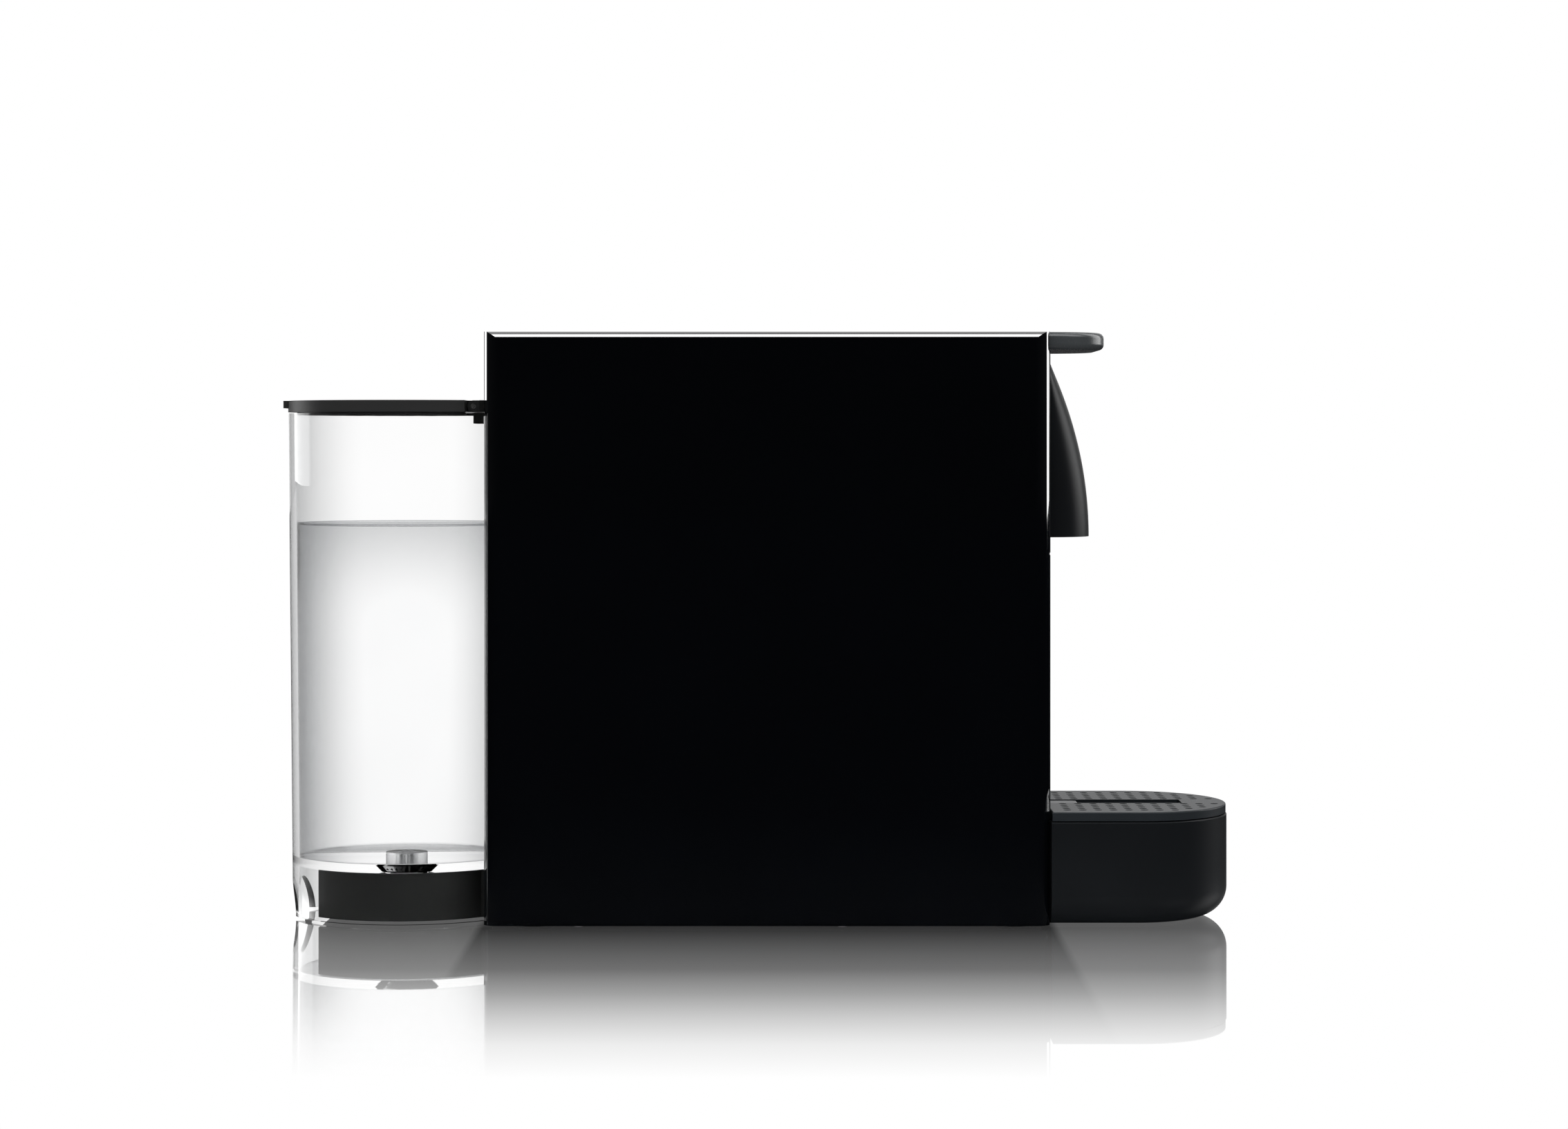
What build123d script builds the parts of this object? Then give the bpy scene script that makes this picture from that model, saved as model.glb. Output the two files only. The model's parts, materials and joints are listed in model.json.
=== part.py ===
from build123d import *
import math
import os

os.makedirs("parts", exist_ok=True)

# Pod coffee machine. Millimetres. +X is the cup side, +Y the machine's left, +Z up.
# The origin is the middle of the whole machine's footprint, on the table.

# ---------------------------------------------------------------- driving sizes
body_length = 194.0        # glossy body, front to rear
body_width = 84.0
body_height = 204.0        # top of the body above the table
tray_reach = 64.5          # drip tray in front of the body
tank_sink = 11.4           # how far the tank stands into the rear of the body
foot_height = 0.8
base_thickness = 2.0
case_wall = 2.5
corner_radius = 5.0        # upright corners of the side covers
crown_radius = 2.5         # long top edges of the side covers
side_strip = 5.6           # how far a side cover wraps on to the top, front and rear

move_gap = 0.4             # between pieces of different bodies
seat_gap = 0.2             # between pieces of one body that sit side by side
pin_fit = 0.05             # radial running clearance of a pin

tank_radius = 41.4         # outside, at the rim
tank_taper = 1.6           # how much narrower the tank is at its foot
tank_wall = 2.4
tank_below_top = 27.8      # rim of the tank under the top of the body
tank_floor_top = 21.4
tank_floor = 3.0
lid_thickness = 4.0
lid_overhang = 0.1
lid_tab = 2.0              # tab behind the lid's rim
lid_ring = 1.0             # ring under the lid that drops into the tank
hinge_inset = 15.9         # lid hinge, from the front of the tank's rim
hinge_half, ear_half = 20.0, 26.0
lid_pin_radius = 0.9
finger_notch_radius = 14.0
finger_notch_top = 13.5
valve_radius = 5.8
valve_bore = 4.6
valve_depth = 4.4          # valve seat below the tank's floor
seal_flare_low, seal_flare_high, seal_height = 2.7, 0.8, 2.4
filter_flare, filter_thickness = 1.4, 0.8
poppet_radius, poppet_thickness, poppet_stem, poppet_length = 4.1, 1.2, 1.6, 4.0
dock_margin = 0.9          # between the dock and the skirt of the tank
dock_cut = 9.0             # the flat at the rear of the dock
dock_half_bridge = 24.0
dock_step = 12.0           # the dock rests on the base plate from here forward
dock_length = 23.8         # from the rear of the body
dock_port_height = 8.0     # water port above the floor of the body

lever_thickness = 6.0
lever_overhang = 20.2      # in front of the body
lever_corner = 20.0
pivot_behind_front = 79.0  # lever pivot, from the front of the body
pivot_below_top = 44.0
pivot_pin_radius = 3.0
crank_radius = 27.0        # drive pin from the pivot
crank_start = 55.0         # degrees above the horizontal, lever shut
drive_pin_radius = 2.5
drive_slot_play = 0.9
arm_inset = 4.5            # lever arms, from the edge of the lever
arm_thickness = 3.0

cage_radius = 19.0
cage_bore = 15.5
cage_depth = 28.0
cage_floor = 4.0
cage_below_top = 45.0      # capsule axis under the top of the body
cage_ear_inner, cage_ear_outer = 13.0, 17.0
needle_circle, needle_length = 7.0, 4.0
groove_pitch, groove_half, groove_depth = 4.4, 0.7, 0.8

cowl_depth = 16.2          # outlet cowl in front of the body
cowl_half_width = 21.5
cowl_below_top = 70.9
cowl_radius = 138.0        # arc of its front, in side view
cowl_wall = 2.0
spout_bore = 3.0
spout_radius = 5.6
duct_radius = 4.5

tray_height = 36.2         # top edge of the drip tray
tray_wall = 2.2
tray_toe = 10.0            # rounding of the tray's bottom edge
tray_nose = 34.0           # depth of its half-oval front
tray_bevel = 0.4           # along the tray's top edge
grid_height = 3.0
grid_plate = 1.6
grid_hole_radius = 1.35
grid_pitch_x, grid_pitch_y = 5.3, 5.8
grid_rows = 6
grid_first_row = 9.5
grid_slot = 6.6            # half-width of the slot in the middle
bin_below_top = 76.6
bin_wall = 2.0

button_radius = 7.0
button_spacing = 30.0
button_travel = 1.5
button_behind_front = 146.0
board_below_top = 15.0
board_thickness = 1.6

gland_ahead = 13.0         # cord gland, from the rear of the body
gland_z = 14.0
gland_radius = 5.0
cord_bore = 3.1

shelf_z = 66.0
shelf = 2.5
bulkhead = 2.5
boss_height = 8.0
screw_radius = 1.65
frame_ahead = 24.0         # inner frame, from the rear of the body
pump_z = 36.0
pump_ahead = 44.0          # pump, from the rear of the body
pump_length = 68.0
pump_tube_radius = 9.0
coil_radius = 19.0
flow_ahead, flow_radius = 40.0, 8.5
hose_radius, hose_bore = 3.2, 2.0
tube_radius, tube_bore = 2.0, 1.2
heater_ahead = 60.0        # thermoblock, from the rear of the body
heater_half_width = 22.0
heater_foot, heater_height = 8.0, 38.0

# ---------------------------------------------------------------- worked-out places
tank_reach = 2 * tank_radius + lid_overhang + lid_tab - 1.0 - tank_sink
half_length = (tank_reach + body_length + tray_reach) / 2
front = half_length - tray_reach
rear = front - body_length
half_width = body_width / 2
inner_y = half_width - case_wall
panel_y = half_width - side_strip
centre_y = panel_y - seat_gap
top = body_height
under_top = top - case_wall
floor_z = foot_height
plate_top = floor_z + base_thickness

lid_radius = tank_radius + lid_overhang
tank_x = -half_length + lid_tab + lid_radius - 1.0
recess_radius = lid_radius + 0.6
tank_base_radius = tank_radius - tank_taper
dock_radius = tank_base_radius - tank_wall - dock_margin
dock_flat = dock_radius - dock_cut
panel_thickness = 2.2
tank_floor_under = tank_floor_top - tank_floor
dock_top = tank_floor_under - move_gap
connector_z = floor_z + dock_port_height
dock_pocket = valve_radius + 4.2
tank_top = top - tank_below_top
lid_under = tank_top + move_gap
lid_top = lid_under + lid_thickness
knuckle = lid_thickness / 2
hinge_x, hinge_z = tank_x + tank_radius - hinge_inset, lid_under + knuckle
poppet_rest = tank_floor_under - 0.2

pivot_x, pivot_z = front - pivot_behind_front, top - pivot_below_top
lever_under = top - lever_thickness
lever_tip = front + lever_overhang
lever_back_radius = math.hypot(32.3, pivot_below_top)
lever_half_width = panel_y - move_gap
arm_outer = lever_half_width - arm_inset
arm_inner = arm_outer - arm_thickness
drive_x = pivot_x + crank_radius * math.cos(math.radians(crank_start))
drive_z = pivot_z + crank_radius * math.sin(math.radians(crank_start))
drive_peak = pivot_z + crank_radius

cage_z = top - cage_below_top
brew_wall = 4.0
brew_y = arm_inner - brew_wall - 2.5
frame_front = front - case_wall - 2.5
cross_plate = 4.0
plate_face = frame_front - cross_plate - 7.6
cage_front = plate_face - move_gap
cage_rear = cage_front - cage_depth - cage_floor
brew_floor = pivot_z - 29.0
brew_floor_top = brew_floor + 3.0
brew_low_top = drive_z - drive_pin_radius - 1.9
brew_top = top - 18.0
frame_rear = pivot_x - 12.0
bulkhead_x = pivot_x + 16.0
frame_back = rear + frame_ahead
screw_y = inner_y - 9.5
shelf_foot_z = plate_top + 4.0
boss_top = plate_top + boss_height
duct_z = brew_floor + 13.0

tray_inner_y = panel_y - move_gap
tray_neck_rear = bulkhead_x + bulkhead + 2.0
tray_front = half_length
tray_side_front = tray_front - tray_nose
tray_rear = front + move_gap
grid_bottom = tray_height + move_gap
grid_top = grid_bottom + grid_height
bin_bottom = tray_height + 0.3
bin_top = top - bin_below_top
front_panel_bottom = bin_top + move_gap + 0.4
front_panel_face = front + 0.3

board_z = top - board_below_top
button_x = front - button_behind_front
spout_x = front + 6.9
cowl_bottom = top - cowl_below_top

gland_x = rear + gland_ahead
flow_x, flow_y = rear + flow_ahead, screw_y - flow_radius - 2
pump_rear = rear + pump_ahead
pump_end = pump_rear + pump_length
block_rear, block_front = rear + heater_ahead, bulkhead_x - 20.0
block_low = shelf_z + shelf + heater_foot
block_high = block_low + heater_height
riser_x, riser_y = bulkhead_x - 9, heater_half_width + 2


# ---------------------------------------------------------------- helpers
def block(x0, x1, y0, y1, z0, z1):
    return Pos((x0 + x1) / 2, (y0 + y1) / 2, (z0 + z1) / 2) * Box(x1 - x0, y1 - y0, z1 - z0)


def wide(x0, x1, half, z0, z1):
    return block(x0, x1, -half, half, z0, z1)


def post(x, y, z0, z1, radius):
    return Pos(x, y, (z0 + z1) / 2) * Cylinder(radius, z1 - z0)


def rod_x(x0, x1, y, z, radius):
    return Pos((x0 + x1) / 2, y, z) * Rot(0, 90, 0) * Cylinder(radius, x1 - x0)


def rod_y(x, y0, y1, z, radius):
    return Pos(x, (y0 + y1) / 2, z) * Rot(90, 0, 0) * Cylinder(radius, y1 - y0)


def side_plate(outline, y0, y1):
    """A flat plate from an outline of (x, z) points, between two values of y."""
    return extrude(Plane.XZ.offset(-y1) * make_face(Polyline(*outline, close=True)), y1 - y0)


def spun(x, outline):
    """A solid of revolution about the upright line at x, from (radius, z) points."""
    profile = Plane.XZ * make_face(Polyline(*outline, close=True))
    return Pos(x, 0, 0) * revolve(profile, Axis.Z)


def spring(x, y, z0, z1, radius, wire, turns):
    path = Helix((z1 - z0 - 2 * wire) / turns, z1 - z0 - 2 * wire, radius)
    coil = sweep(Plane(path @ 0, z_dir=path % 0) * Circle(wire), path, is_frenet=True)
    return Pos(x, y, z0 + wire) * coil


def hose(points, radius, bore, bends):
    path = FilletPolyline(*points, radius=bends)
    start = Plane(path @ 0, z_dir=path % 0)
    return sweep(start * (Circle(radius) - Circle(bore)), path)


def save(name, *pieces):
    shape = pieces[0] if len(pieces) == 1 else Compound(children=list(pieces))
    export_step(shape, f"parts/{name}.step")


def both_sides(make):
    return [make(-1), make(1)]


# ---------------------------------------------------------------- outer case
def case_shell():
    plan = RectangleRounded(body_length, body_width, corner_radius)
    column = Pos((front + rear) / 2, 0, floor_z) * extrude(plan, top - floor_z)
    end = Rectangle(body_width, top - floor_z)
    end = fillet(end.vertices().group_by(Axis.Y)[-1], crown_radius)
    tunnel = extrude(Plane.YZ.offset(rear) * Pos(0, (top + floor_z) / 2) * end, body_length)
    inside_plan = RectangleRounded(body_length - 2 * case_wall, 2 * inner_y, corner_radius - case_wall)
    inside = Pos((front + rear) / 2, 0, floor_z) * extrude(inside_plan, under_top - floor_z)
    return (column & tunnel) - inside


def side_cover(side, shell):
    y0, y1 = sorted((side * panel_y, side * half_width))
    cover = shell & block(rear, front, y0, y1, floor_z, top)
    if side > 0:
        cover -= rod_y(gland_x, inner_y - 1, half_width + 1, gland_z, gland_radius + seat_gap)
    return cover


def cord_gland():
    flange = rod_y(gland_x, inner_y - 1.8, inner_y - seat_gap, gland_z, gland_radius + 1.8)
    body = rod_y(gland_x, inner_y - 6, half_width, gland_z, gland_radius)
    return flange + body - rod_y(gland_x, inner_y - 7, half_width + 1, gland_z, cord_bore)


def button_places():
    return [(button_x, -button_spacing / 2), (button_x, button_spacing / 2)]


def top_deck():
    deck = wide(rear, pivot_x, centre_y, under_top, top)
    deck -= post(tank_x, 0, 0, top + 1, recess_radius)
    deck -= rod_y(pivot_x, -half_width, half_width, pivot_z, lever_back_radius + move_gap)
    for x, y in button_places():
        deck -= post(x, y, under_top - 1, top + 1, button_radius + move_gap)
    for x, y in board_posts():
        deck += post(x, y, board_z + board_thickness, under_top + 0.5, 2.4)
    return deck


def board_posts():
    return [(x, y) for x in (button_x - 17, button_x + 11) for y in (-24, 24)]


def rear_panel():
    slab = wide(rear, rear + panel_thickness, centre_y, plate_top, under_top)
    ring = post(tank_x, 0, plate_top, under_top, recess_radius + panel_thickness)
    ring &= wide(rear, 0, centre_y, 0, top)
    panel = slab + ring - post(tank_x, 0, 0, top, recess_radius)
    half = dock_half_bridge + seat_gap
    return panel - wide(rear - 9, 0, half, 0, dock_top + seat_gap)


def front_panel():
    panel = wide(front - case_wall, front_panel_face, centre_y,
                 front_panel_bottom, lever_under - move_gap)
    return panel - rod_x(front - 9, front + 9, 0, duct_z, duct_radius + seat_gap)


def cowl_half(inset):
    """Half-oval slices of the outlet cowl, stacked from its bottom towards the top."""
    slices = []
    arc_x = front + cowl_depth - cowl_radius
    highest = cowl_bottom + math.sqrt(cowl_radius ** 2 - (front + 1.6 + inset - arc_x) ** 2)
    for step in range(6):
        z = cowl_bottom - inset + (highest - cowl_bottom + inset) * step / 5
        reach = arc_x + math.sqrt(cowl_radius ** 2 - (z - cowl_bottom) ** 2) - inset - front_panel_face
        oval = Ellipse(reach, cowl_half_width - inset)
        half = oval & Pos(reach / 2, 0) * Rectangle(reach, 2 * cowl_half_width)
        slices.append(Pos(front_panel_face, 0, z) * half)
    return loft([piece.face() for piece in slices])


def outlet_cowl():
    skin = cowl_half(0.0) - cowl_half(cowl_wall)
    floor = cowl_half(0.0) & wide(front, lever_tip, half_width, cowl_bottom, cowl_bottom + cowl_wall)
    cowl = skin + floor - post(spout_x, 0, 0, duct_z, spout_radius + seat_gap)
    return cowl & wide(front_panel_face, lever_tip, half_width, cowl_bottom, lever_under - move_gap)


# ---------------------------------------------------------------- base
def foot_places():
    return [(x, y) for x in (rear + 17, front - 12) for y in (8.5 - inner_y, inner_y - 8.5)]


def base_screw_places():
    return [(x, y) for x in (frame_back + 8, bulkhead_x - 8) for y in (-screw_y, screw_y)]


def base_plate():
    inset = case_wall + seat_gap
    plan = RectangleRounded(body_length - 2 * inset, body_width - 2 * inset, corner_radius - case_wall)
    plate = Pos((front + rear) / 2, 0, floor_z) * extrude(plan, plate_top - floor_z)
    plate -= post(tank_x, 0, 0, 9, recess_radius + panel_thickness + seat_gap)
    plate -= wide(rear, rear + dock_step + seat_gap, dock_half_bridge + seat_gap, 0, 9)
    for x, y in foot_places():
        plate -= post(x, y, 0, plate_top + 1, 2.5)
    for x, y in base_screw_places():
        plate -= post(x, y, 0, plate_top + 1, screw_radius + 0.05)
    return plate


def rubber_feet():
    return [post(x, y, 0, floor_z, 6) + post(x, y, floor_z, plate_top, 2.45) for x, y in foot_places()]


def base_screws():
    return [post(x, y, floor_z + 0.1, shelf_foot_z, screw_radius) for x, y in base_screw_places()]


# ---------------------------------------------------------------- inner frame
def main_frame():
    half = inner_y - seat_gap
    frame = wide(bulkhead_x, bulkhead_x + bulkhead, half, plate_top, brew_floor)
    frame += wide(frame_back, bulkhead_x, half, shelf_z, shelf_z + shelf)
    frame += wide(frame_back, frame_back + bulkhead, half, plate_top, shelf_z)
    frame -= wide(frame_back - 4, frame_back + 6, screw_y - 3, plate_top - 1, pump_z + 16)
    for y in (-screw_y, screw_y):
        frame += block(frame_back + 4, bulkhead_x, y - 1, y + 1, plate_top, boss_top)
    for x, y in base_screw_places():
        frame += post(x, y, plate_top, boss_top, 4)
        frame -= post(x, y, 0, shelf_foot_z, screw_radius + 0.1)
    frame -= post(riser_x, riser_y, shelf_z - 1, shelf_z + 9, tube_radius + 4)
    return frame


def brew_outline():
    return [(frame_rear, brew_floor), (frame_front, brew_floor), (frame_front, brew_top),
            (cage_rear - 5, brew_top), (cage_rear - 5, brew_low_top), (frame_rear, brew_low_top)]


def brew_frame():
    outer = brew_y + brew_wall
    frame = wide(frame_rear, frame_front, inner_y - 5.5, brew_floor, brew_floor_top)
    for y0, y1 in ((-outer, -brew_y), (brew_y, outer)):
        frame += side_plate(brew_outline(), y0, y1)
    frame += wide(frame_front - cross_plate, frame_front, outer, brew_floor, brew_top)
    frame += wide(frame_rear, frame_rear + 3, outer, brew_floor, brew_floor + 15)
    frame -= wide(cage_front - 33, cage_front - 1, brew_y - 1.5, brew_floor - 1, brew_floor_top + 1)
    frame -= rod_x(frame_front - 9, front, 0, duct_z, duct_radius + seat_gap)
    frame -= rod_x(frame_rear - 1, frame_rear + 9, 0, brew_floor + 9, 2.7)
    for side in (-1, 1):
        y0, y1 = sorted((side * outer, side * (arm_inner - move_gap)))
        frame += rod_y(pivot_x, y0, y1, pivot_z, 6.5)
    frame -= rod_y(pivot_x, -half_width, half_width, pivot_z, pivot_pin_radius + 0.02)
    return frame


def frame_screws():
    y = inner_y - 8.5
    places = [(frame_rear + 5, -y), (frame_rear + 5, y), (frame_front - 5, -y), (frame_front - 5, y)]
    return [post(x, y, brew_floor_top, brew_floor_top + 2, 2.8) for x, y in places]


# ---------------------------------------------------------------- lever
def lever_plate():
    length = lever_tip - pivot_x + 50
    plan = Pos(lever_tip - length / 2, 0) * Rectangle(length, 2 * lever_half_width)
    plan = fillet(plan.vertices().group_by(Axis.X)[-1], lever_corner)
    plate = Pos(0, 0, lever_under) * extrude(plan, lever_thickness)
    edges = plate.faces().sort_by(Axis.Z)[-1].edges() + plate.faces().sort_by(Axis.Z)[0].edges()
    plate = fillet(edges, lever_thickness / 3)
    keep = rod_y(pivot_x, -half_width, half_width, pivot_z, lever_back_radius)
    return plate & (keep + wide(pivot_x, lever_tip, half_width, lever_under, top))


def lever_arm(side):
    y0, y1 = sorted((side * arm_inner, side * arm_outer))
    outline = [(pivot_x - 8, pivot_z), (pivot_x + 6, pivot_z - 5), (drive_x + 6, drive_z - 4),
               (drive_x + 22, lever_under + 1), (pivot_x - 26, lever_under + 1)]
    arm = side_plate(outline, y0, y1) + rod_y(pivot_x, y0, y1, pivot_z, 8)
    arm -= rod_y(pivot_x, y0, y1, pivot_z, pivot_pin_radius + pin_fit)
    return arm - rod_y(drive_x, y0, y1, drive_z, drive_pin_radius + 0.02)


def lever():
    return lever_plate() + lever_arm(-1) + lever_arm(1)


def pivot_pin(side):
    y0, y1 = sorted((side * (brew_y + 0.3), side * (arm_outer + move_gap)))
    h0, h1 = sorted((side * (arm_outer + move_gap), side * (arm_outer + move_gap + 1.6)))
    return rod_y(pivot_x, y0, y1, pivot_z, pivot_pin_radius) + rod_y(pivot_x, h0, h1, pivot_z, 5)


def lever_drive_pin():
    return rod_y(drive_x, -arm_outer, arm_outer, drive_z, drive_pin_radius)


# ---------------------------------------------------------------- brewing
def capsule_cage():
    cage = rod_x(cage_rear, cage_front, 0, cage_z, cage_radius)
    cage += wide(cage_rear, cage_front, brew_y - move_gap, cage_z - 3, cage_z + 3)
    slot_half = drive_pin_radius + drive_slot_play
    for y0, y1 in ((-cage_ear_outer, -cage_ear_inner), (cage_ear_inner, cage_ear_outer)):
        ear = block(drive_x - slot_half - 3, drive_x + slot_half + 3, y0, y1, cage_z - 8, drive_peak + 4)
        ear += block(drive_x, cage_rear + 3, y0, y1, cage_z - 8, brew_low_top)
        ear -= block(drive_x - slot_half, drive_x + slot_half, y0, y1, drive_z - 3.4, drive_peak + 5)
        cage += ear
    return cage - rod_x(cage_rear + cage_floor, cage_front + 1, 0, cage_z, cage_bore)


def piercing_needles():
    base = cage_rear + cage_floor
    needle = Pos(base + needle_length / 2, 0, cage_z) * Rot(0, 90, 0) * Cone(1.4, 0.3, needle_length)
    turns = [math.radians(turn) for turn in (90, 210, 330)]
    return [Pos(0, needle_circle * math.cos(t), needle_circle * math.sin(t)) * needle for t in turns]


def extraction_plate():
    plate = rod_x(plate_face, frame_front - cross_plate, 0, cage_z, cage_radius)
    x0, x1, reach = plate_face - 1, plate_face + groove_depth, cage_radius + 1
    for row in range(-3, 4):
        low, high = row * groove_pitch - groove_half, row * groove_pitch + groove_half
        plate -= block(x0, x1, -reach, reach, cage_z + low, cage_z + high)
        plate -= block(x0, x1, low, high, cage_z - reach, cage_z + reach)
    return plate


def coffee_duct():
    pipe = rod_x(frame_front - cross_plate, spout_x - spout_radius, 0, duct_z, duct_radius)
    return pipe - rod_x(frame_front - 9, spout_x, 0, duct_z, spout_bore)


def coffee_spout():
    spout = post(spout_x, 0, cowl_bottom + 0.5, duct_z + 5.5, spout_radius)
    spout -= post(spout_x, 0, 0, duct_z + 3, spout_bore)
    spout -= rod_x(spout_x - 9, spout_x, 0, duct_z, spout_bore)
    return spout - rod_x(front, spout_x - spout_radius + 0.8, 0, duct_z, duct_radius + 1)


def capsule_chute():
    plate_bottom, plate_high = brew_top, brew_top + 6
    arms_clear = drive_x + 28
    chute = wide(cage_front - 36, frame_front, arm_inner - 0.7, plate_bottom, plate_high)
    chute += wide(arms_clear, frame_front, centre_y, plate_bottom, plate_high)
    return chute - wide(cage_front - 32, cage_front - 1.5, 18.5, plate_bottom - 1, plate_high + 1)


# ---------------------------------------------------------------- drip side
def tray_plan(inset):
    """Front of the drip tray: straight sides that end in a half oval."""
    half = half_width - inset
    oval = Pos(tray_side_front, 0) * Ellipse(tray_nose - inset, half)
    oval &= Pos(tray_side_front + tray_nose / 2, 0) * Rectangle(tray_nose, body_width)
    length = tray_side_front - tray_rear - inset
    return oval + Pos(tray_rear + inset + length / 2, 0) * Rectangle(length, 2 * half)


def tray_shell(inset, bottom, toe):
    shape = Pos(0, 0, bottom) * extrude(tray_plan(inset), tray_height + (1 if inset else 0) - bottom)
    edges = [e for e in shape.faces().sort_by(Axis.Z)[0].edges() if e.center().X > tray_rear + inset + 1]
    return fillet(edges, toe)


def drip_tray():
    tray = tray_shell(0, floor_z, tray_toe)
    rim = [e for e in tray.faces().sort_by(Axis.Z)[-1].edges() if e.center().X > tray_rear + 1]
    tray = chamfer(rim, tray_bevel)
    tray += wide(tray_neck_rear, tray_rear + 1, tray_inner_y, plate_top + move_gap, tray_height)
    tray -= tray_shell(tray_wall, floor_z + tray_wall, tray_toe - tray_wall)
    neck_floor = plate_top + move_gap + tray_wall
    neck = wide(tray_neck_rear + tray_wall, tray_rear + 6, tray_inner_y - tray_wall,
                neck_floor, tray_height + 1)
    return tray - neck


def grid_holes():
    holes = []
    x = tray_rear + 6
    while x < tray_front - 4:
        for row in range(grid_rows):
            y = grid_first_row + row * grid_pitch_y
            reach = math.hypot(max(x - tray_side_front, 0) / (tray_nose - 4), y / (half_width - 3.5))
            if reach < 1:
                holes += [(x, y), (x, -y)]
        x += grid_pitch_x
    return holes


def drip_grid():
    rim = Pos(0, 0, grid_bottom) * extrude(tray_plan(0.3), grid_height)
    rim = fillet(rim.faces().sort_by(Axis.Z)[-1].edges(), 0.5)
    rim -= Pos(0, 0, grid_bottom - 1) * extrude(tray_plan(2.6), grid_height - grid_plate + 1)
    rim -= wide(tray_rear - 1, tray_side_front + 18, grid_slot, grid_bottom - 1, grid_top + 1)
    drills = [post(x, y, grid_bottom - 1, grid_top + 1, grid_hole_radius) for x, y in grid_holes()]
    return rim - Compound(children=drills)


def capsule_bin():
    shell = wide(tray_neck_rear, front_panel_face, tray_inner_y, bin_bottom, bin_top)
    inside = wide(tray_neck_rear + bin_wall, front_panel_face - bin_wall, tray_inner_y - bin_wall,
                  bin_bottom + bin_wall, bin_top + 1)
    return shell - inside


def bin_tongue():
    plate = wide(front_panel_face, front + 12, grid_slot - 0.6, grid_bottom, grid_top - 0.3)
    return fillet(plate.edges().filter_by(Axis.Z).group_by(Axis.X)[-1], 2)


# ---------------------------------------------------------------- water tank
def water_tank():
    tank = spun(tank_x, [(0, tank_floor_under), (tank_base_radius - tank_wall, tank_floor_under),
                         (tank_base_radius - tank_wall, floor_z), (tank_base_radius, floor_z),
                         (tank_radius, tank_top), (tank_radius - tank_wall, tank_top),
                         (tank_base_radius - tank_wall + 0.2, tank_floor_top), (0, tank_floor_top)])
    tank -= post(tank_x, 0, 0, tank_floor_top + 1, valve_radius + 0.02) + seal_cone(0.02)
    tank -= rod_x(tank_x - tank_radius - 5, tank_x - dock_flat - 5, 0,
                  finger_notch_top - finger_notch_radius, finger_notch_radius)
    return tank - wide(tank_x + 10, rear + 30, dock_half_bridge + 0.8, 0, tank_floor_under)


def tank_lid():
    lid = post(tank_x, 0, lid_under, lid_top, lid_radius)
    lid += wide(-half_length, tank_x - lid_radius + 5, 8, lid_top - 2.6, lid_top)
    ring = post(tank_x, 0, lid_under - lid_ring, lid_under + 0.5, tank_radius - tank_wall - 0.6)
    ring -= post(tank_x, 0, 0, lid_top, tank_radius - tank_wall - 1.8)
    lid += ring
    lid -= wide(hinge_x - knuckle - move_gap, hinge_x + 60, 60, 0, top)
    lid += wide(hinge_x - knuckle - 2, hinge_x, hinge_half, lid_under, lid_top)
    lid += rod_y(hinge_x, -hinge_half, hinge_half, hinge_z, knuckle)
    return lid - rod_y(hinge_x, -60, 60, hinge_z, lid_pin_radius + pin_fit)


def lid_hinge_cap():
    cap = post(tank_x, 0, lid_under, lid_top, lid_radius)
    cap &= wide(hinge_x + knuckle + move_gap, hinge_x + 60, 60, 0, top)
    for y0, y1 in ((-ear_half, -hinge_half - move_gap), (hinge_half + move_gap, ear_half)):
        cap += rod_y(hinge_x, y0, y1, hinge_z, knuckle)
        cap += block(hinge_x, hinge_x + knuckle + 1, y0, y1, lid_under, lid_top)
    cap += wide(hinge_x - 1.3, tank_x + tank_radius - tank_wall - 3, 12, tank_top - 3.6, lid_under - 0.2)
    cap += wide(hinge_x + knuckle + move_gap, hinge_x + knuckle + 2, 12, lid_under - 1, lid_top)
    cap += wide(hinge_x + 2, hinge_x + 3.4, 6, tank_top - 9, tank_top - 3)
    return cap - rod_y(hinge_x, -60, 60, hinge_z, lid_pin_radius + 0.01)


def lid_hinge_pin():
    return rod_y(hinge_x, -ear_half, ear_half, hinge_z, lid_pin_radius)


def seal_cone(gap):
    low, high = valve_radius + seal_flare_low + gap, valve_radius + seal_flare_high + gap
    return Pos(tank_x, 0, tank_floor_under + seal_height / 2) * Cone(low, high, seal_height)


def valve_seal():
    return seal_cone(0) - post(tank_x, 0, 0, tank_top, valve_radius + 0.02)


def valve_seat():
    bottom = tank_floor_under - valve_depth
    seat = post(tank_x, 0, bottom, tank_floor_top, valve_radius)
    seat -= post(tank_x, 0, 0, tank_top, valve_bore)
    lip = post(tank_x, 0, bottom, bottom + 1.4, valve_bore + 0.2)
    return seat + lip - post(tank_x, 0, 0, tank_top, poppet_stem + 1)


def valve_filter():
    disc = post(tank_x, 0, tank_floor_top, tank_floor_top + filter_thickness,
                valve_radius + filter_flare)
    for turn in range(6):
        disc -= Pos(tank_x, 0, 0) * Rot(0, 0, 60 * turn) * post(valve_bore / 2, 0, 0, tank_top, 0.9)
    return disc


def valve_poppet():
    stem = post(tank_x, 0, poppet_rest - poppet_length, poppet_rest, poppet_stem)
    return stem + post(tank_x, 0, poppet_rest, poppet_rest + poppet_thickness, poppet_radius)


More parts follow.
